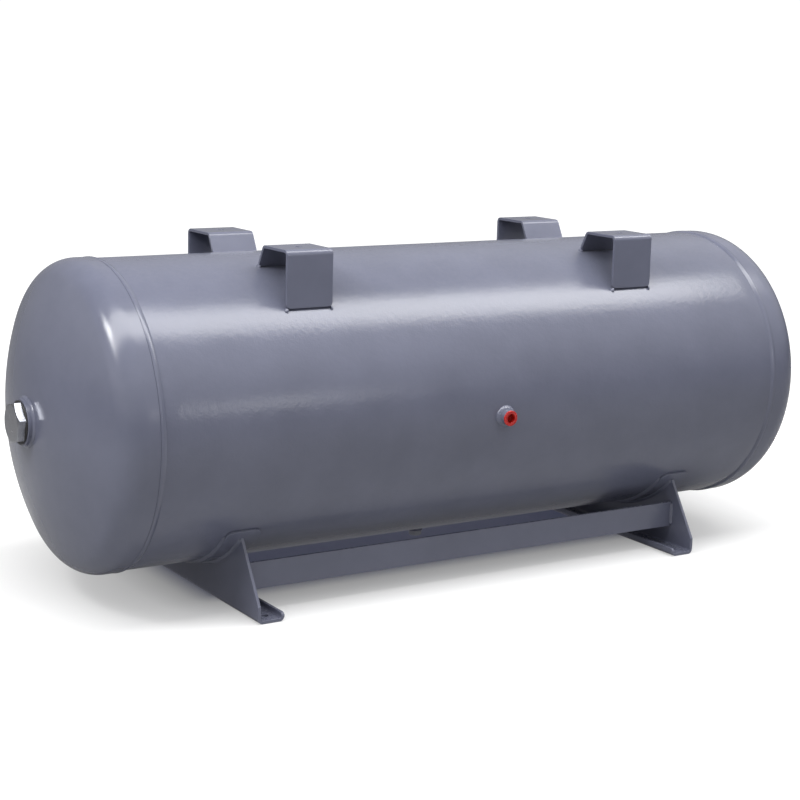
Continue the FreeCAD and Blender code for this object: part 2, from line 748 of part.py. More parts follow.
def bracket(label, turn, along):
    """A bracket bent from one plate: upright outer leg, flat top, leaning inner leg."""
    body = new_body(label)
    outer_leg, inner_leg = leg_ends()
    under_top = f"{BRACKET_TOP} - bracket_plate"
    inner_bend = (f"{LEAN_START} + bracket_plate * {LEAN_SIN} / {LEAN_COS}", under_top)
    outer_bend = (outer_leg[0][0], under_top)
    top_corners = [(f"-{BRACKET_OUTER}", BRACKET_TOP), (f"-{BRACKET_INNER}", BRACKET_TOP)]
    section = sketch_on(body, "section", "YZ_Plane")
    outline(section, [
        outer_leg[1],
        *top_corners,
        inner_leg[1],
        inner_leg[0],
        inner_bend,
        outer_bend,
        outer_leg[0],
    ])
    pad(body, section, "bracket_width")
    under_corners = [inner_bend, outer_bend]
    fillet(body, "bracket_bend + bracket_plate", lambda edge: stands_at(edge, "yz", top_corners))
    fillet(body, "bracket_bend", lambda edge: stands_at(edge, "yz", under_corners))
    fillet(body, "bracket_corner", lambda edge: any(crosses(edge, "yz", *end) for end in leg_ends()))
    hole = sketch_on(body, "bolt_hole", "XY_Plane")
    circle(hole, "0", f"-({BRACKET_OUTER} + {BRACKET_INNER}) / 2", "bracket_hole / 2")
    pocket(body, hole, "ahead")
    place(body, turn, along=along, up=AXIS_HEIGHT)


def bracket_weld(label, turn, along):
    """The short welds at the ends of both legs. They fill the notch under each rounded corner."""
    body = new_body(label)
    end = "(bracket_width / 2 + seat_gap)"
    notch = "bracket_corner * (2 - sqrt(2))"
    for name, (inside, outside) in zip(("outer", "inner"), leg_ends()):
        middle = f"(-({inside[0]} + {outside[0]}) / 2)"
        section = sketch_on(body, f"{name}_leg", "XZ_Plane")
        bind(section, "AttachmentOffset.Rotation.Angle", f"asin({middle} / {SEAT_R})")
        section.AttachmentOffset = Placement(Vector(), Rotation(Vector(1, 0, 0), 1))
        for sign in ("", "-"):
            outline(section, [
                (f"{sign}({end} - {notch} / 2)", SEAT_R),
                (f"{sign}({end} + bracket_bead)", SEAT_R),
                (f"{sign}{end}", f"{SEAT_R} + bracket_bead"),
                (f"{sign}{end}", f"{SEAT_R} + {notch}"),
            ])
        revolve(body, section, f"bracket_bead_run / {SEAT_R} * 1 rad")
    place(body, turn, along=along, up=AXIS_HEIGHT)


def brackets():
    for depth, turn in (("front", Rotation()), ("back", TURNED)):
        for side, sign in (("left", "-"), ("right", "")):
            along = f"{sign}bracket_spacing / 2"
            bracket(f"bracket_{depth}_{side}", turn, along)
            bracket_weld(f"bracket_weld_{depth}_{side}", turn, along)


# ---------------------------------------------------------------- checks and files
def check(pieces):
    """Stop on a failed object, a cut that removes nothing, or a piece with no valid solid."""
    for item in doc.Objects:
        if "Invalid" in item.State or "Error" in item.State:
            raise RuntimeError(f"{item.Name} failed: {item.State}")
        if item.TypeId in ("PartDesign::Pocket", "PartDesign::Groove"):
            if item.Shape.Volume > item.BaseFeature.Shape.Volume - NEAR:
                raise RuntimeError(f"{item.Name} removes nothing")
    for piece in pieces:
        if piece.Shape.isNull() or not piece.Shape.isValid() or not piece.Shape.Solids:
            raise RuntimeError(f"{piece.Label} has no valid solid")


sheet = driving_sheet()
shell()
seam_weld()
for side, turn in (("left", TURNED), ("right", Rotation())):
    head(f"head_{side}", turn)
    girth_weld(f"girth_weld_{side}", turn)
    end_port(side)
side_port()
drain_port()
feet()
for depth, turn in (("front", Rotation()), ("back", TURNED)):
    tie_bar(f"tie_bar_{depth}", turn)
    tie_weld(f"tie_weld_{depth}", turn)
brackets()
doc.recompute()

bodies = [item for item in doc.Objects if item.TypeId == "PartDesign::Body"]
check(bodies)
for body in bodies:
    body.Shape.exportStep(f"parts/{body.Label}.step")
    print(body.Label, len(body.Shape.Solids), round(body.Shape.Volume / 1000, 1), "cm3")
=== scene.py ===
import math

import bmesh
import bpy
from mathutils import Matrix, Vector, noise


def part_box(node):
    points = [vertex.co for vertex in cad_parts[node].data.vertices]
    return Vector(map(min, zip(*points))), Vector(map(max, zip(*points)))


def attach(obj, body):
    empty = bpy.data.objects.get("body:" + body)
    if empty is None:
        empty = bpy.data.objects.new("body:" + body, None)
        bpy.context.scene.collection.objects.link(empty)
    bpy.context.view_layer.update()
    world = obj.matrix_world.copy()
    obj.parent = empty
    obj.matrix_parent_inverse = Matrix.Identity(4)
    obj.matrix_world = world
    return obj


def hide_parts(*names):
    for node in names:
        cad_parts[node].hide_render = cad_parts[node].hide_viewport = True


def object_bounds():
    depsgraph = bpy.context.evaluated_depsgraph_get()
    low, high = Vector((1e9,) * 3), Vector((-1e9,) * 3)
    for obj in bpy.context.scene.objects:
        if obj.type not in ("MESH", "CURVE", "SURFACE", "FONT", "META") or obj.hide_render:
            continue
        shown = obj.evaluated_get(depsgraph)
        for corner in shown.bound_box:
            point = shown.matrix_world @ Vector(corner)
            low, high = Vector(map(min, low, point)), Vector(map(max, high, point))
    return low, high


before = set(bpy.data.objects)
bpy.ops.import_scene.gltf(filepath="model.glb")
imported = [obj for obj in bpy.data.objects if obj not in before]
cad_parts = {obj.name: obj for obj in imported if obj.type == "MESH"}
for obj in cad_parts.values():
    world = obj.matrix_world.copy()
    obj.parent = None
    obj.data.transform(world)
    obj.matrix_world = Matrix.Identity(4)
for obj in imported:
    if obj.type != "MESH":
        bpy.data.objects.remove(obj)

cad_box = [list(corner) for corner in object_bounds()]


# ---------------------------------------------------------------- rolled shell
# The shell is 3 mm steel plate rolled to a tube, with its ends drawn in to lap inside the heads and
# bored for two sockets. Rolled plate is never quite true, so its face wanders by a tenth or two of
# a millimetre. The whole tank is sprayed with one blue-grey enamel after welding.
def group(name, inputs, outputs):
    """A shader node group with named inputs and outputs, and its input and output nodes."""
    tree = bpy.data.node_groups.new(name, "ShaderNodeTree")
    for label, kind in inputs:
        tree.interface.new_socket(label, in_out="INPUT", socket_type=kind)
    for label, kind in outputs:
        tree.interface.new_socket(label, in_out="OUTPUT", socket_type=kind)
    return tree, tree.nodes.new("NodeGroupInput"), tree.nodes.new("NodeGroupOutput")


def node(tree, kind, settings=None, **sockets):
    """A node with its settings, and its inputs set to values or joined to other outputs."""
    made = tree.nodes.new(kind)
    for name, setting in (settings or {}).items():
        setattr(made, name, setting)
    for name, given in sockets.items():
        target = made.inputs[int(name[1:])] if name[0] == "_" else made.inputs[name.replace("_", " ")]
        if isinstance(given, bpy.types.NodeSocket):
            tree.links.new(given, target)
        else:
            target.default_value = given
    return made


def spread(tree, value, low, high, to_low, to_high):
    """Map a value from one range to another, held at its ends."""
    return node(tree, "ShaderNodeMapRange", _0=value, _1=low, _2=high, _3=to_low, _4=to_high).outputs[0]


def maths(tree, operation, first, second):
    return node(tree, "ShaderNodeMath", {"operation": operation}, _0=first, _1=second).outputs[0]


def blended(tree, mask, first, second):
    """One colour where the mask is 0, the other where it is 1."""
    return node(tree, "ShaderNodeMix", {"data_type": "RGBA"}, _0=mask, _6=first, _7=second).outputs[2]


def sprayed_enamel():
    """Colour, roughness and orange peel of sprayed enamel, with a little dust on what faces up."""
    tree, given, made = group(
        "sprayed_enamel",
        [("Enamel", "NodeSocketColor"), ("Dust Colour", "NodeSocketColor"),
         ("Gloss Roughness", "NodeSocketFloat"), ("Peel Per Metre", "NodeSocketFloat"),
         ("Dust Amount", "NodeSocketFloat")],
        [("Colour", "NodeSocketColor"), ("Roughness", "NodeSocketFloat"), ("Peel Height", "NodeSocketFloat")],
    )
    place = node(tree, "ShaderNodeTexCoord").outputs["Object"]
    fine = node(tree, "ShaderNodeTexNoise", Vector=place, Scale=given.outputs["Peel Per Metre"], Detail=2.0,
                Roughness=0.55).outputs[0]
    broad_scale = maths(tree, "MULTIPLY", given.outputs["Peel Per Metre"], 0.3)
    broad = node(tree, "ShaderNodeTexNoise", Vector=place, Scale=broad_scale, Detail=1.0).outputs[0]
    peel = maths(tree, "ADD", fine, maths(tree, "MULTIPLY", broad, 1.6))
    cloud = node(tree, "ShaderNodeTexNoise", Vector=place, Scale=9.0, Detail=4.0, Roughness=0.6).outputs[0]
    thin = spread(tree, cloud, 0.3, 0.7, 0.93, 1.06)
    tone = node(tree, "ShaderNodeHueSaturation", Value=thin, Color=given.outputs["Enamel"]).outputs[0]
    normal = node(tree, "ShaderNodeNewGeometry").outputs["Normal"]
    facing = node(tree, "ShaderNodeSeparateXYZ", _0=normal).outputs[2]
    upward = spread(tree, facing, 0.55, 1.0, 0.0, 1.0)
    speck = node(tree, "ShaderNodeTexNoise", Vector=place, Scale=140.0, Detail=5.0, Roughness=0.7).outputs[0]
    settled = maths(tree, "MULTIPLY", upward, spread(tree, speck, 0.35, 0.75, 0.2, 1.0))
    dust = maths(tree, "MULTIPLY", settled, given.outputs["Dust Amount"])
    colour = blended(tree, dust, tone, given.outputs["Dust Colour"])
    patchy = spread(tree, cloud, 0.25, 0.75, -0.025, 0.035)
    rough = maths(tree, "ADD", maths(tree, "ADD", given.outputs["Gloss Roughness"], patchy),
                  maths(tree, "MULTIPLY", dust, 0.8))
    tree.links.new(colour, made.inputs["Colour"])
    tree.links.new(rough, made.inputs["Roughness"])
    tree.links.new(peel, made.inputs["Peel Height"])
    return tree


ENAMEL_GROUP = sprayed_enamel()
ENAMEL = (0.120, 0.127, 0.176, 1.0)
DUST = (0.42, 0.41, 0.40, 1.0)


def enamelled(name, rough, peel_per_metre, peel_depth, dust):
    """An enamel material: its peel_depth is the height of the orange peel in metres."""
    material = bpy.data.materials.new(name)
    material.use_nodes = True
    tree = material.node_tree
    shader = tree.nodes["Principled BSDF"]
    coat = tree.nodes.new("ShaderNodeGroup")
    coat.node_tree = ENAMEL_GROUP
    for label, given in (("Enamel", ENAMEL), ("Dust Colour", DUST), ("Gloss Roughness", rough),
                         ("Peel Per Metre", peel_per_metre), ("Dust Amount", dust)):
        coat.inputs[label].default_value = given
    bump = node(tree, "ShaderNodeBump", Distance=peel_depth, Height=coat.outputs["Peel Height"])
    tree.links.new(coat.outputs["Colour"], shader.inputs["Base Color"])
    tree.links.new(coat.outputs["Roughness"], shader.inputs["Roughness"])
    tree.links.new(bump.outputs[0], shader.inputs["Normal"])
    shader.inputs["IOR"].default_value = 1.5
    return material


def piece(name, mesh, material, slot, *nodes):
    """A finished piece: it stands for the CAD nodes and rides with the tank; its slot is not used."""
    made = bpy.data.objects.new(name, mesh)
    bpy.context.scene.collection.objects.link(made)
    mesh.materials.append(material)
    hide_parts(*nodes)
    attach(made, "root")
    return made


def lofted(name, rings, closed):
    """A mesh through rings of points, each ring closed; the run of rings is closed or capped."""
    work = bmesh.new()
    rows = [[work.verts.new(point) for point in ring] for ring in rings]
    count = len(rows[0])
    for index in range(len(rows) if closed else len(rows) - 1):
        here, there = rows[index], rows[(index + 1) % len(rows)]
        for step in range(count):
            onward = (step + 1) % count
            work.faces.new((here[step], here[onward], there[onward], there[step]))
    if not closed:
        work.faces.new(rows[0])
        work.faces.new(rows[-1])
    bmesh.ops.recalc_face_normals(work, faces=work.faces)
    mesh = bpy.data.meshes.new(name)
    work.to_mesh(mesh)
    work.free()
    return mesh


def smoothed(mesh, sharp_degrees=38):
    """Smooth shading, but for edges sharper than the angle."""
    mesh.shade_smooth()
    mesh.set_sharp_from_angle(angle=math.radians(sharp_degrees))
    return mesh


def turned(name, profile, height, steps, wander):
    """A mesh turned about the tank's axis from (along, radius) pairs, its face a little uneven."""
    patch = 0.16
    rings = []
    for step in range(steps):
        turn = 2 * math.pi * step / steps
        ring = []
        for along, radius in profile:
            spot = Vector((along, math.cos(turn) * radius, math.sin(turn) * radius))
            reach = radius + wander * noise.noise(spot / patch)
            spot = Vector((along, math.cos(turn) * reach, math.sin(turn) * reach))
            ring.append(spot + Vector((0, 0, height)))
        rings.append(ring)
    return smoothed(lofted(name, rings, True))


def bored(made, centre, along, radius):
    """Drill a hole through one wall of a piece, with a Boolean modifier that is then applied."""
    work = bmesh.new()
    placed = Matrix.Translation(centre) @ along.to_track_quat("Z", "Y").to_matrix().to_4x4()
    bmesh.ops.create_cone(work, cap_ends=True, segments=64, radius1=radius, radius2=radius, depth=0.05,
                          matrix=placed)
    drill_mesh = bpy.data.meshes.new("drill")
    work.to_mesh(drill_mesh)
    work.free()
    drill = bpy.data.objects.new("drill", drill_mesh)
    bpy.context.scene.collection.objects.link(drill)
    cut = made.modifiers.new("bore", "BOOLEAN")
    cut.object = drill
    cut.operation = "DIFFERENCE"
    cut.solver = "EXACT"
    apply_modifiers(made)
    bpy.data.objects.remove(drill)


def apply_modifiers(made):
    """Keep a piece's mesh as its modifiers leave it."""
    graph = bpy.context.evaluated_depsgraph_get()
    result = bpy.data.meshes.new_from_object(made.evaluated_get(graph))
    made.modifiers.clear()
    old = made.data
    made.data = result
    bpy.data.meshes.remove(old)


SIDES = {"left": -1, "right": 1}
shell_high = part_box("shell")[1]
lap_end = shell_high.x
shell_radius = shell_high.y
axis_height = (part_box("head_left")[0].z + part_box("head_left")[1].z) / 2
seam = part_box("head_right")[0].x
shell_wall = 0.003
swage_run = 0.008
lap_radius = 0.2483
shell_wander = 0.00018
port_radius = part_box("drain_socket")[1].x
straight = [(seam - swage_run) * (step / 20 - 1) for step in range(41)]
outside = [(-lap_end, lap_radius), (-seam, lap_radius)] + [(along, shell_radius) for along in straight]
outside += [(seam, lap_radius), (lap_end, lap_radius)]
shell_profile = outside + [(along, radius - shell_wall) for along, radius in reversed(outside)]
shell_enamel = enamelled("shell_enamel", rough=0.21, peel_per_metre=330.0, peel_depth=0.00016, dust=0.06)
shell = piece("rolled_shell", turned("rolled_shell", shell_profile, axis_height, 288, shell_wander),
              shell_enamel, "shell_paint", "shell")
socket_low, socket_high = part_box("side_socket")
socket_middle = (socket_low + socket_high) / 2
side_out = Vector((0, socket_middle.y, socket_middle.z - axis_height)).normalized()
side_spot = Vector((socket_middle.x, 0, axis_height)) + side_out * shell_radius
bored(shell, side_spot, side_out, port_radius)
drain_out = Vector((0, 0, -1))
drain_spot = Vector((0, 0, axis_height)) + drain_out * shell_radius
bored(shell, drain_spot, drain_out, port_radius)
smoothed(shell.data)


# ---------------------------------------------------------------- dished heads
# Each head is a pressed disc of 3.5 mm plate: a short straight skirt, a tight knuckle and a shallow
# crown with a hole in its middle. Pressing leaves the face smoother than the rolled shell.
def head_profile(skirt_radius, hole):
    """The right head's section as (along, radius) pairs, outside from the seam and back inside."""
    wall = 0.0035
    skirt = 0.018
    knuckle = 0.050
    crown = 0.500
    edge = 0.0006
    tangent = seam + skirt
    middle_in = skirt_radius - knuckle
    back = math.sqrt((crown - knuckle) ** 2 - middle_in ** 2)
    meet = math.atan2(middle_in, back)

    def face(inset):
        points = [(seam + skirt * step / 4, skirt_radius - inset) for step in range(4)]
        for step in range(25):
            turn = math.pi / 2 + (meet - math.pi / 2) * step / 24
            reach = knuckle - inset
            points.append((tangent + reach * math.cos(turn), middle_in + reach * math.sin(turn)))
        mouth = math.asin(hole / (crown - inset))
        for step in range(1, 45):
            turn = meet + (mouth - meet) * step / 44
            reach = crown - inset
            points.append((tangent - back + reach * math.cos(turn), reach * math.sin(turn)))
        return points

    outer = face(0.0)
    outer[0] = (seam + edge, skirt_radius)
    return [(seam, skirt_radius - edge)] + outer + list(reversed(face(wall)))


skirt_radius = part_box("head_left")[1].y
end_socket_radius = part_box("end_socket_left")[1].y
head_wander = 0.00015
head_enamel = enamelled("head_enamel", rough=0.19, peel_per_metre=300.0, peel_depth=0.00005, dust=0.05)
for side, sign in SIDES.items():
    outline = head_profile(skirt_radius, end_socket_radius)
    section = [(sign * along, radius) for along, radius in outline]
    mesh = turned(f"dished_head_{side}", section, axis_height, 256, head_wander)
    piece(f"dished_head_{side}", mesh, head_enamel, "head_paint", f"head_{side}")


# ---------------------------------------------------------------- girth welds and seam weld
# The heads are joined to the shell by one machine-laid bead each, and the shell's own joint by
# another, low at the back. A bead shows fine even ripples under the paint and slightly wavy toes.
def ripple(travel, across, pitch):
    """Height from -1 to 1 of a weld's ripples at a distance along it; they bow across the bead."""
    phase = (travel / pitch + 0.35 * across * across) % 1.0
    return 1.0 - 2.0 * (1.0 - phase) ** 2


def wave(travel, seed, size):
    """A slow wander along a bead."""
    return size * noise.noise(Vector((travel * 45.0, seed, 0.0)))


def cap_ring(station, across_dir, out_dir, half, root, rise, travel, seed, pitch, depth):
    """One ring of a flat bead: a low arch over its middle and a flat root under it."""
    ring = []
    left = half * (1 + wave(travel, seed, 0.10))
    right = half * (1 + wave(travel, seed + 5.0, 0.10))
    for step in range(9):
        share = step / 4 - 1
        reach = left if share < 0 else right
        arch = (1 - share * share) * (rise + depth * ripple(travel, share, pitch))
        ring.append(station + across_dir * (share * reach) + out_dir * arch)
    ring.append(station + across_dir * right * 0.8 - out_dir * root)
    ring.append(station - across_dir * left * 0.8 - out_dir * root)
    return ring


weld_enamel = enamelled("weld_enamel", rough=0.17, peel_per_metre=420.0, peel_depth=0.00003, dust=0.04)
girth_low, girth_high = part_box("girth_weld_right")
girth_steps = 1400
girth_rise = 0.00105
girth_ripple = 0.00016
girth_pitch = 0.0034
girth_root = lap_radius + 0.0004
for side, sign in SIDES.items():
    rings = []
    for step in range(girth_steps):
        turn = 2 * math.pi * step / girth_steps
        travel = turn * shell_radius
        radial = Vector((0, math.cos(turn), math.sin(turn)))
        shift = wave(travel, 3.0 * sign, 0.0006)
        toe = girth_low.x + 0.0002 + shift
        lip = girth_high.x + 0.0001
        ring = []
        for part in range(9):
            share = part / 8
            along = toe + (lip - toe) * share
            slope = shell_radius - 0.00005 + (skirt_radius - shell_radius) * min(1.0, share * 1.25)
            rise = girth_rise + girth_ripple * ripple(travel, share * 2 - 1, girth_pitch)
            arch = 4 * share * (1 - share) * rise
            ring.append(Vector((sign * along, 0, axis_height)) + radial * (slope + arch))
        ring.append(Vector((sign * lip, 0, axis_height)) + radial * girth_root)
        ring.append(Vector((sign * (seam - 0.004), 0, axis_height)) + radial * girth_root)
        rings.append(ring)
    mesh = smoothed(lofted(f"girth_bead_{side}", rings, True), 60)
    piece(f"girth_bead_{side}", mesh, weld_enamel, "painted_weld", f"girth_weld_{side}")

seam_low, seam_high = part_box("shell_seam_weld")
seam_spot = Vector((0, (seam_low.y + seam_high.y) / 2, (seam_low.z + seam_high.z) / 2 - axis_height))
seam_out = seam_spot.normalized()
seam_across = Vector((1, 0, 0)).cross(seam_out)
seam_steps = 1200
rings = []
for step in range(seam_steps + 1):
    along = seam_low.x + (seam_high.x - seam_low.x) * step / seam_steps
    station = Vector((along, 0, axis_height)) + seam_out * shell_radius
    rings.append(cap_ring(station, seam_across, seam_out, half=0.0035, root=0.0002, rise=0.00085,
                          travel=along, seed=9.0, pitch=0.0036, depth=0.0001))
mesh = smoothed(lofted("seam_bead", rings, False), 60)
piece("seam_bead", mesh, weld_enamel, "painted_weld", "shell_seam_weld")


# ---------------------------------------------------------------- end sockets, gaskets and plugs
# A turned steel socket is welded into the middle of each head. A hexagon plug of zinc-plated steel
# closes it over a flat black gasket. The weld round the socket is laid by hand.
def fillet_ring(corner, toe_a, toe_b, leg_a, leg_b, travel, seed, pitch, depth):
    """One ring of a fillet weld in the corner between two faces, with its toes on both."""
    bulge = 0.10 * (leg_a + leg_b) / 2
    swell_a = leg_a * (1 + wave(travel, seed, 0.14))
    swell_b = leg_b * (1 + wave(travel, seed + 7.0, 0.14))
    outward = (toe_a + toe_b).normalized()
    ring = []
    for step in range(8):
        share = step / 7
        bow = 4 * share * (1 - share) * (bulge + depth * ripple(travel, share * 2 - 1, pitch))
        ring.append(corner + toe_a * (swell_a * (1 - share)) + toe_b * (swell_b * share) + outward * bow)
    sink = min(leg_a, leg_b) * 0.08
    ring[0] -= toe_b * sink
    ring[-1] -= toe_a * sink
    ring.append(corner - outward * sink)
    return ring


def round_weld(name, corner_at, leg, steps, circumference, seed):
    """A closed fillet weld; corner_at gives the corner, and the ways along both faces, for a turn."""
    rings = []
    for step in range(steps):
        turn = 2 * math.pi * step / steps
        travel = turn / (2 * math.pi) * circumference
        corner, toe_a, toe_b = corner_at(turn)
        rings.append(fillet_ring(corner, toe_a, toe_b, leg, leg, travel, seed,
                                 pitch=0.0042, depth=leg * 0.035))
    return smoothed(lofted(name, rings, True), 60)


def eased(source, edge, name):
    """A copy of a CAD node's mesh with its edges rounded, as cut and dressed steel is."""
    flat_angle = math.radians(0.6)
    edge_angle = math.radians(32)
    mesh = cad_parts[source].data.copy()
    mesh.name = name
    mesh.materials.clear()
    work = bmesh.new()
    work.from_mesh(mesh)
    bmesh.ops.remove_doubles(work, verts=work.verts, dist=0.00001)
    bmesh.ops.dissolve_limit(work, angle_limit=flat_angle, verts=work.verts, edges=work.edges)
    edges = [item for item in work.edges
             if len(item.link_faces) == 2 and item.calc_face_angle(0.0) > edge_angle]
    bmesh.ops.bevel(work, geom=edges, offset=edge, segments=3, profile=0.5, affect="EDGES",
                    clamp_overlap=True, material=-1)
    work.to_mesh(mesh)
    work.free()
    return mesh


def weighted(made):
    """Let large flat faces set the shading at their rounded edges."""
    made.data.shade_smooth()
    keep = made.modifiers.new("flat_faces", "WEIGHTED_NORMAL")
    keep.weight = 100
    keep.keep_sharp = False
    return made


def plated_steel(name, centre, across):
    """Zinc plate over machined steel: fine turning marks about a centre line, a faint cloudiness."""
    dull = (0.28, 0.29, 0.32, 1.0)
    bright = (0.38, 0.38, 0.41, 1.0)
    material = bpy.data.materials.new(name)
    material.use_nodes = True
    tree = material.node_tree
    shader = tree.nodes["Principled BSDF"]
    place = node(tree, "ShaderNodeTexCoord").outputs["Object"]
    centred = node(tree, "ShaderNodeVectorMath", {"operation": "SUBTRACT"}, _0=place, _1=centre).outputs[0]
    flat = node(tree, "ShaderNodeVectorMath", {"operation": "MULTIPLY"}, _0=centred, _1=across).outputs[0]
    radius = node(tree, "ShaderNodeVectorMath", {"operation": "LENGTH"}, _0=flat).outputs["Value"]
    marks = node(tree, "ShaderNodeTexNoise", {"noise_dimensions": "1D"}, W=radius, Scale=2600.0, Detail=3.0,
                 Roughness=0.6).outputs[0]
    cloud = node(tree, "ShaderNodeTexNoise", Vector=place, Scale=70.0, Detail=4.0, Roughness=0.6).outputs[0]
    colour = blended(tree, spread(tree, cloud, 0.3, 0.7, 0.0, 1.0), dull, bright)
    rough = spread(tree, cloud, 0.3, 0.7, 0.20, 0.28)
    bump = node(tree, "ShaderNodeBump", Distance=0.000012, Height=marks)
    tree.links.new(colour, shader.inputs["Base Color"])
    tree.links.new(rough, shader.inputs["Roughness"])
    tree.links.new(bump.outputs[0], shader.inputs["Normal"])
    shader.inputs["Metallic"].default_value = 1.0
    return material


def pressed_rubber(name):
    """Black rubber sheet with a fine grain and a paler bloom."""
    material = bpy.data.materials.new(name)
    material.use_nodes = True
    tree = material.node_tree
    shader = tree.nodes["Principled BSDF"]
    place = node(tree, "ShaderNodeTexCoord").outputs["Object"]
    grain = node(tree, "ShaderNodeTexNoise", Vector=place, Scale=1800.0, Detail=2.0).outputs[0]
    bloom = node(tree, "ShaderNodeTexNoise", Vector=place, Scale=120.0, Detail=3.0).outputs[0]
    colour = blended(tree, bloom, (0.012, 0.012, 0.013, 1.0), (0.035, 0.034, 0.033, 1.0))
    tree.links.new(colour, shader.inputs["Base Color"])
    tree.links.new(spread(tree, bloom, 0.3, 0.7, 0.55, 0.75), shader.inputs["Roughness"])
    bump = node(tree, "ShaderNodeBump", Distance=0.00004, Height=grain)
    tree.links.new(bump.outputs[0], shader.inputs["Normal"])
    return material


socket_enamel = enamelled("socket_enamel", rough=0.16, peel_per_metre=420.0, peel_depth=0.00003, dust=0.05)
end_plate = plated_steel("end_plug_zinc", centre=(0.0, 0.0, axis_height), across=(0.0, 1.0, 1.0))
rubber = pressed_rubber("gasket_rubber")
end_bead = 0.0036
socket_stand = 0.008
crown_reach = 0.500
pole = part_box("end_socket_right")[1].x - socket_stand
socket_round = 2 * math.pi * end_socket_radius
for side, sign in SIDES.items():
    socket = eased(f"end_socket_{side}", 0.0008, f"end_boss_{side}")
    weighted(piece(f"end_boss_{side}", socket, socket_enamel, "socket_paint", f"end_socket_{side}"))
    gasket = eased(f"end_gasket_{side}", 0.0004, f"flat_gasket_{side}")
    weighted(piece(f"flat_gasket_{side}", gasket, rubber, "gasket", f"end_gasket_{side}"))
    plug = eased(f"end_plug_{side}", 0.0005, f"hexagon_plug_{side}")
    weighted(piece(f"hexagon_plug_{side}", plug, end_plate, "end_plug", f"end_plug_{side}"))
    tilt = end_socket_radius / crown_reach
    crown_edge = pole - crown_reach + math.sqrt(crown_reach ** 2 - end_socket_radius ** 2)

    def end_corner(turn):
        radial = Vector((0, math.cos(turn), math.sin(turn)))
        corner = Vector((sign * crown_edge, 0, axis_height)) + radial * end_socket_radius
        return corner, (radial - Vector((sign * tilt, 0, 0))).normalized(), Vector((sign, 0, 0))

    mesh = round_weld(f"end_boss_bead_{side}", end_corner, end_bead, 360, socket_round, 11.0 + sign)
    piece(f"end_boss_bead_{side}", mesh, weld_enamel, "painted_weld", f"end_socket_weld_{side}")


# ---------------------------------------------------------------- side port
# A small threaded socket is welded into the front, close to the middle. A red moulded plastic cap
# with a hollow cup is pushed into it and keeps its thread clean.
def port_corner(middle, out):
    """The corner between a small socket and the round of the shell, for each turn about it."""
    aside = out.cross(Vector((1, 0, 0)))

    def corner_at(turn):
        radial = aside * math.sin(turn) + Vector((math.cos(turn), 0, 0))
        offset = port_radius * math.sin(turn)
        drop = math.sqrt(shell_radius ** 2 - offset ** 2)
        corner = (Vector((middle, 0, axis_height)) + out * drop + aside * offset
                  + Vector((math.cos(turn) * port_radius, 0, 0)))
        surface = (out * drop + aside * offset).normalized()
        toe = (radial - surface * radial.dot(surface)).normalized()
        return corner, toe, out
    return corner_at


def moulded_plastic(name):
    """Glossy red plastic with faint flow marks and a fine satin grain."""
    deep = (0.36, 0.008, 0.007, 1.0)
    pale = (0.48, 0.016, 0.011, 1.0)
    material = bpy.data.materials.new(name)
    material.use_nodes = True
    tree = material.node_tree
    shader = tree.nodes["Principled BSDF"]
    place = node(tree, "ShaderNodeTexCoord").outputs["Object"]
    flow = node(tree, "ShaderNodeTexNoise", Vector=place, Scale=160.0, Detail=2.0,
                Distortion=0.8).outputs[0]
    colour = blended(tree, spread(tree, flow, 0.3, 0.7, 0.0, 1.0), deep, pale)
    tree.links.new(colour, shader.inputs["Base Color"])
    tree.links.new(spread(tree, flow, 0.3, 0.7, 0.20, 0.30), shader.inputs["Roughness"])
    grain = node(tree, "ShaderNodeTexNoise", Vector=place, Scale=2200.0, Detail=1.0).outputs[0]
    bump = node(tree, "ShaderNodeBump", Distance=0.00002, Height=grain)
    tree.links.new(bump.outputs[0], shader.inputs["Normal"])
    shader.inputs["Subsurface Weight"].default_value = 0.08
    shader.inputs["Subsurface Scale"].default_value = 0.002
    return material


port_bead = 0.006
port_round = 2 * math.pi * port_radius
socket = eased("side_socket", 0.0005, "side_boss")
weighted(piece("side_boss", socket, socket_enamel, "socket_paint", "side_socket"))
side_corner = port_corner(side_spot.x, side_out)
mesh = round_weld("side_boss_bead", side_corner, port_bead, 240, port_round, 21.0)
piece("side_boss_bead", mesh, weld_enamel, "painted_weld", "side_socket_weld")
cap = eased("side_cap", 0.0003, "thread_cap")
weighted(piece("thread_cap", cap, moulded_plastic("red_cap_plastic"), "thread_cap", "side_cap"))


# ---------------------------------------------------------------- drain port
# The same threaded socket is welded in again at the lowest point of the shell, to let water out.
# It is closed by a small zinc-plated steel plug.
socket = eased("drain_socket", 0.0005, "drain_boss")
weighted(piece("drain_boss", socket, socket_enamel, "socket_paint", "drain_socket"))
mesh = round_weld("drain_boss_bead", port_corner(0.0, drain_out), port_bead, 240, port_round, 23.0)
piece("drain_boss_bead", mesh, weld_enamel, "painted_weld", "drain_weld")
drain_plate = plated_steel("drain_plug_zinc", centre=(0.0, 0.0, 0.0), across=(1.0, 1.0, 0.0))
plug = eased("drain_plug", 0.0004, "drain_screw")
weighted(piece("drain_screw", plug, drain_plate, "drain_plug", "drain_plug"))


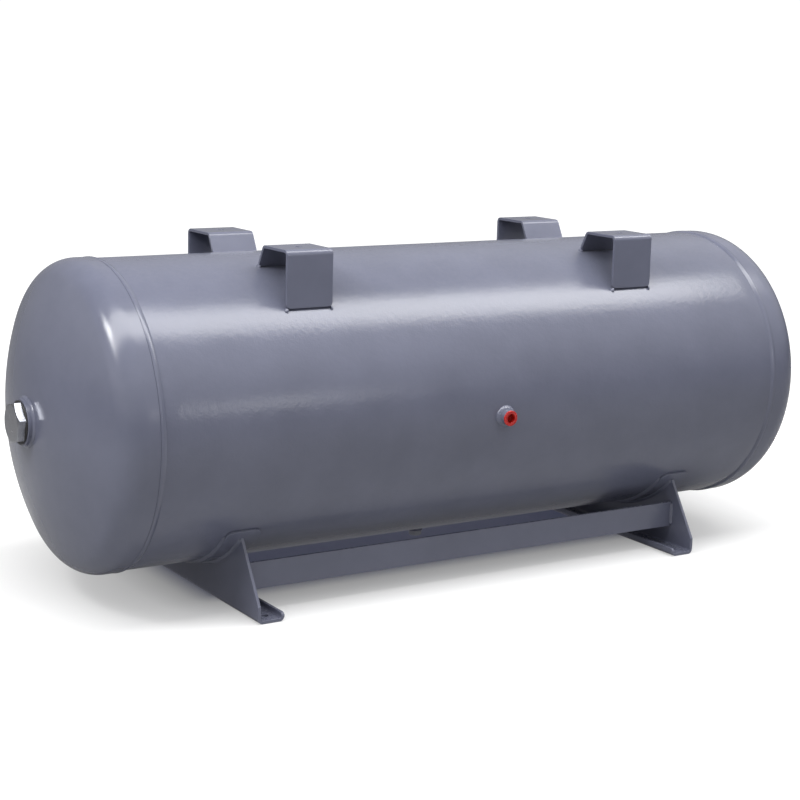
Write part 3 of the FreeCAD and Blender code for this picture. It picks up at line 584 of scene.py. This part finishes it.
# ---------------------------------------------------------------- feet
# Each foot is one 5 mm plate, cut and bent: an upright web, a base flange with two bolt holes and a
# turned-up lip. Its web meets a curved wear pad under the shell. Hand-laid welds join pad to shell
# and web to pad, and the sheared edges are dressed.
def arc_weld(name, runs, half_angle, leg, seed):
    """Fillet welds hung under the shell; runs are (along, radius, way) for each bead's corner."""
    ring_gap = 0.0011
    meshes = []
    for number, (along, radius, way) in enumerate(runs):
        length = 2 * half_angle * radius
        steps = int(length / ring_gap)
        rings = []
        for step in range(steps + 1):
            share = step / steps
            turn = half_angle * (2 * share - 1)
            travel = share * length
            down = Vector((0, math.sin(turn), -math.cos(turn)))
            taper = tapered(travel, length, 0.005)
            corner = Vector((along, 0, axis_height)) + down * radius
            rings.append(fillet_ring(corner, Vector((way, 0, 0)), down, leg * taper, leg * taper, travel,
                                     seed + number, pitch=0.0045, depth=leg * 0.045))
        meshes.append(lofted(name, rings, False))
    return smoothed(joined(name, meshes), 60)


def tapered(travel, length, run):
    """How full a bead is at a distance along it: it starts and stops rounded."""
    near = min(travel, length - travel)
    return math.sqrt(max(0.04, 1 - (1 - min(1.0, near / run)) ** 2))


def joined(name, meshes):
    """Several meshes as one."""
    work = bmesh.new()
    for mesh in meshes:
        work.from_mesh(mesh)
        bpy.data.meshes.remove(mesh)
    result = bpy.data.meshes.new(name)
    work.to_mesh(result)
    work.free()
    return result


foot_enamel = enamelled("foot_enamel", rough=0.24, peel_per_metre=300.0, peel_depth=0.00003, dust=0.06)
foot_plate = 0.005
pad_plate = 0.004
fit_gap = 0.0002
pad_bead = 0.0034
web_bead = 0.0044
web_half_width = 0.181
pad_margin = 0.004
pad_radius = shell_radius + fit_gap + pad_plate
web_arc = math.asin(web_half_width / (pad_radius + fit_gap))
pad_arc = web_arc + pad_margin / pad_radius
for side, sign in SIDES.items():
    foot = eased(f"foot_{side}", 0.0009, f"bent_foot_{side}")
    weighted(piece(f"bent_foot_{side}", foot, foot_enamel, "foot_paint", f"foot_{side}"))
    pad = eased(f"foot_pad_{side}", 0.0009, f"wear_pad_{side}")
    weighted(piece(f"wear_pad_{side}", pad, foot_enamel, "foot_paint", f"foot_pad_{side}"))
    pad_low, pad_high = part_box(f"foot_pad_{side}")
    web_x = (pad_low.x + pad_high.x) / 2
    runs = [(pad_high.x, shell_radius, 1), (pad_low.x, shell_radius, -1)]
    mesh = arc_weld(f"pad_beads_{side}", runs, pad_arc, pad_bead, 31.0 + sign)
    piece(f"pad_beads_{side}", mesh, weld_enamel, "painted_weld", f"foot_pad_weld_{side}")
    runs = [(web_x + foot_plate / 2, pad_radius, 1), (web_x - foot_plate / 2, pad_radius, -1)]
    mesh = arc_weld(f"web_beads_{side}", runs, web_arc - math.radians(0.5), web_bead, 41.0 + sign)
    piece(f"web_beads_{side}", mesh, weld_enamel, "painted_weld", f"foot_weld_{side}")


# ---------------------------------------------------------------- tie bars
# Two flat steel bars hold the feet apart, one at the front and one at the back. A fillet weld runs
# down each end, against the inside of the web.
tie_bead = 0.004
tie_steps = 40
for side, sign in (("front", -1), ("back", 1)):
    bar = eased(f"tie_bar_{side}", 0.0003, f"flat_bar_{side}")
    weighted(piece(f"flat_bar_{side}", bar, foot_enamel, "foot_paint", f"tie_bar_{side}"))
    bar_low, bar_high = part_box(f"tie_bar_{side}")
    face = bar_low.y if sign < 0 else bar_high.y
    weld_low, weld_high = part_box(f"tie_weld_{side}")
    length = weld_high.z - weld_low.z
    meshes = []
    for end, (web, way) in enumerate(((weld_low.x, 1), (weld_high.x, -1))):
        rings = []
        for step in range(tie_steps + 1):
            travel = length * step / tie_steps
            leg = tie_bead * tapered(travel, length, 0.004)
            corner = Vector((web - way * fit_gap, face, weld_low.z + travel))
            rings.append(fillet_ring(corner, Vector((way, 0, 0)), Vector((0, sign, 0)), leg, leg, travel,
                                     51.0 + sign + end, pitch=0.0045, depth=tie_bead * 0.05))
        meshes.append(lofted("tie_bead", rings, False))
    mesh = smoothed(joined(f"tie_beads_{side}", meshes), 60)
    piece(f"tie_beads_{side}", mesh, weld_enamel, "painted_weld", f"tie_weld_{side}")


# ---------------------------------------------------------------- top brackets
# Four saddles of bent 5 mm plate carry a machine's base frame: an upright outer leg, a flat top
# with one bolt hole and a leaning inner leg. A short fat weld holds each lower corner to the shell.
bracket_enamel = enamelled("bracket_enamel", rough=0.19, peel_per_metre=300.0, peel_depth=0.00004, dust=0.06)
bracket_plate = 0.005
shell_leg = 0.0026
bracket_leg = shell_leg * 1.5
bead_run = 0.010
bead_steps = 20
bead_sink = 0.00246
for depth, facing in (("front", -1), ("back", 1)):
    for side, sign in SIDES.items():
        name = f"bracket_{depth}_{side}"
        saddle = eased(name, 0.0009, f"saddle_{depth}_{side}")
        weighted(piece(f"saddle_{depth}_{side}", saddle, bracket_enamel, "bracket_paint", name))
        low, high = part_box(name)
        outer_y = abs(high.y if facing > 0 else low.y)
        inner_y = abs(low.y if facing > 0 else high.y)
        outer_leg = math.asin((outer_y - bracket_plate / 2) / shell_radius)
        inner_leg = math.asin((inner_y + bracket_plate * 0.45) / shell_radius)
        meshes = []
        for leg, middle in enumerate((outer_leg, inner_leg)):
            for end, (edge, way) in enumerate(((low.x, -1), (high.x, 1))):
                rings = []
                for step in range(bead_steps + 1):
                    travel = bead_run * step / bead_steps
                    turn = middle + (travel - bead_run / 2) / shell_radius
                    out = Vector((0, facing * math.sin(turn), math.cos(turn)))
                    full = tapered(travel, bead_run, 0.005)
                    corner = Vector((edge - way * bead_sink, 0, axis_height)) + out * shell_radius
                    rings.append(fillet_ring(corner, Vector((way, 0, 0)), out,
                                             (shell_leg + bead_sink) * full, bracket_leg * full, travel,
                                             61.0 + leg * 3 + end + sign, pitch=0.0042, depth=0.0003))
                meshes.append(lofted("saddle_bead", rings, False))
        mesh = smoothed(joined(f"saddle_beads_{depth}_{side}", meshes), 60)
        piece(f"saddle_beads_{depth}_{side}", mesh, weld_enamel, "painted_weld",
              f"bracket_weld_{depth}_{side}")


# ---------------------------------------------------------------- studio
# A pale floor that the camera sees with a painted shadow under the tank, and that glows there to throw
# painted light onto the tank's underside; a white backdrop, and soft light from four tall walls.
# A long soft box hangs above the front, a small bright one above the left end, and a low card
# stands to the right of the front.
def ramped(tree, value, stops):
    """A colour that runs through (place, red, green, blue) stops in straight lines."""
    ramp = tree.nodes.new("ShaderNodeValToRGB")
    while len(ramp.color_ramp.elements) < len(stops):
        ramp.color_ramp.elements.new(1.0)
    for stop, (place, *colour) in zip(ramp.color_ramp.elements, stops):
        stop.position = place
        stop.color = (*colour, 1.0)
    tree.links.new(value, ramp.inputs[0])
    return ramp.outputs[0]


floor_mesh = bpy.data.meshes.new("studio_floor")
reach = 40.0
floor_mesh.from_pydata([(-reach, -reach, 0), (reach, -reach, 0), (reach, reach, 0), (-reach, reach, 0)], [],
                       [(0, 1, 2, 3)])
floor = bpy.data.objects.new("studio_floor", floor_mesh)
floor.location.z = cad_box[0][2] - 0.0004
bpy.context.scene.collection.objects.link(floor)
floor_finish = bpy.data.materials.new("studio_floor")
floor_finish.use_nodes = True
tree = floor_finish.node_tree
tree.nodes.clear()
place = node(tree, "ShaderNodeTexCoord").outputs["Object"]
shade_centre = (0.0, 0.045, 0.0)
shade_half_size = (0.43, 0.105, 0.0)
nothing = (0.0, 0.0, 0.0)
offset = place
for operation, second in (("SUBTRACT", shade_centre), ("ABSOLUTE", nothing),
                          ("SUBTRACT", shade_half_size), ("MAXIMUM", nothing)):
    offset = node(tree, "ShaderNodeVectorMath", {"operation": operation}, _0=offset, _1=second).outputs[0]
from_core = node(tree, "ShaderNodeVectorMath", {"operation": "LENGTH"}, _0=offset).outputs["Value"]
# Painted shadow: for camera rays the floor glows more the farther it is from a patch under the tank, and that
# patch stays dark and blue-tinted.
painted_shadow_ramp = ramped(tree, from_core, [(0.0, 0.022, 0.025, 0.050), (0.05, 0.25, 0.25, 0.25),
                                (0.11, 0.38, 0.38, 0.38), (0.22, 0.48, 0.48, 0.48),
                                (0.6, 0.90, 0.90, 0.90)])
# Painted light: for all rays but the camera's, the floor glows under the tank to lighten the tank's
# underside, standing in for bounce light.
painted_glow_ramp = ramped(tree, from_core, [(0.0, 0.16, 0.16, 0.17), (0.05, 0.12, 0.12, 0.12),
                                  (0.16, 0.02, 0.02, 0.02)])
seen = node(tree, "ShaderNodeLightPath").outputs["Is Camera Ray"]
matt = node(tree, "ShaderNodeBsdfDiffuse", Color=(0.42, 0.42, 0.42, 1.0)).outputs[0]
painted_glow = node(tree, "ShaderNodeEmission", Color=painted_glow_ramp, Strength=1.0).outputs[0]
thrown = node(tree, "ShaderNodeAddShader", _0=matt, _1=painted_glow).outputs[0]
paler = node(tree, "ShaderNodeBsdfDiffuse", Color=(0.45, 0.45, 0.45, 1.0)).outputs[0]
painted_shadow_glow = node(tree, "ShaderNodeEmission", Color=painted_shadow_ramp, Strength=1.0).outputs[0]
shown = node(tree, "ShaderNodeAddShader", _0=paler, _1=painted_shadow_glow).outputs[0]
both = node(tree, "ShaderNodeMixShader", _0=seen, _1=thrown, _2=shown).outputs[0]
node(tree, "ShaderNodeOutputMaterial", Surface=both)
floor_mesh.materials.append(floor_finish)

world = bpy.data.worlds.new("studio")
bpy.context.scene.world = world
world.use_nodes = True
tree = world.node_tree
tree.nodes.clear()
looking = node(tree, "ShaderNodeTexCoord").outputs["Generated"]
across, away, rise = node(tree, "ShaderNodeSeparateXYZ", _0=looking).outputs
level_part = maths(tree, "MAXIMUM", maths(tree, "ADD", maths(tree, "MULTIPLY", across, across),
                                          maths(tree, "MULTIPLY", away, away)), 0.0001)
overhead = 0.2
light = 0.0
# Each wall: its way, its brightness at the floor and at its brightest, and how high that is and it ends.
for course, sign, foot, bright, bright_rise, top_rise in (
    (away, -1.0, 0.15, 1.1, 0.7, 1.0),
    (away, 1.0, 0.3, 0.3, 0.5, 1.0),
    (across, -1.0, 0.3, 1.2, 0.3, 0.7),
    (across, 1.0, 0.0, 1.1, 0.55, 1.0),
):
    wall = ramped(tree, rise, [(0.0, foot, foot, foot), (bright_rise, bright, bright, bright),
                               (top_rise, overhead, overhead, overhead)])
    toward = maths(tree, "MAXIMUM", maths(tree, "MULTIPLY", course, sign), 0.0)
    share = maths(tree, "DIVIDE", maths(tree, "MULTIPLY", toward, toward), level_part)
    light = maths(tree, "ADD", light, maths(tree, "MULTIPLY", share, wall))
white = (1.0, 1.0, 1.0, 1.0)
walls = node(tree, "ShaderNodeBackground", Color=white, Strength=light).outputs[0]
backdrop = node(tree, "ShaderNodeBackground", Color=white, Strength=1.05).outputs[0]
seen = node(tree, "ShaderNodeLightPath").outputs["Is Camera Ray"]
both = node(tree, "ShaderNodeMixShader", _0=seen, _1=walls, _2=backdrop).outputs[0]
node(tree, "ShaderNodeOutputWorld", Surface=both)


def soft_box(name, spot, aim, size, radiance):
    """A rectangular light of (length, width) aimed at a point, as bright as its radiance says."""
    lamp = bpy.data.lights.new(name, "AREA")
    lamp.shape = "RECTANGLE"
    lamp.size, lamp.size_y = size
    lamp.energy = radiance * math.pi * size[0] * size[1]
    box = bpy.data.objects.new(name, lamp)
    bpy.context.scene.collection.objects.link(box)
    box.location = spot
    box.rotation_mode = "QUATERNION"
    box.rotation_quaternion = (Vector(aim) - Vector(spot)).to_track_quat("-Z", "Y")


soft_box("strip_box", (-0.4, -0.55, 2.0), (-0.4, -0.18, 0.48), (4.7, 0.66), 7.7)
soft_box("left_box", (-1.72, -0.20, 1.62), (-0.7, -0.1, 0.45), (0.42, 0.34), 19.5)
soft_box("low_card", (0.93, -2.86, 0.80), (-0.48, -0.25, 0.35), (0.5, 0.26), 6.0)

camera_data = bpy.data.cameras.new("camera")
camera_data.lens = 81.6
camera_data.sensor_width = 36.0
camera = bpy.data.objects.new("camera", camera_data)
bpy.context.scene.collection.objects.link(camera)
bpy.context.scene.camera = camera
camera.matrix_world = (
    Matrix.Translation((-1.7141, -2.6437, 0.8966))
    @ Matrix.Rotation(math.radians(-32.36), 4, "Z")
    @ Matrix.Rotation(math.radians(90 - 11.127), 4, "X")
    @ Matrix.Rotation(math.radians(1.438), 4, "Z")
)
bpy.context.scene.view_settings.view_transform = "Standard"
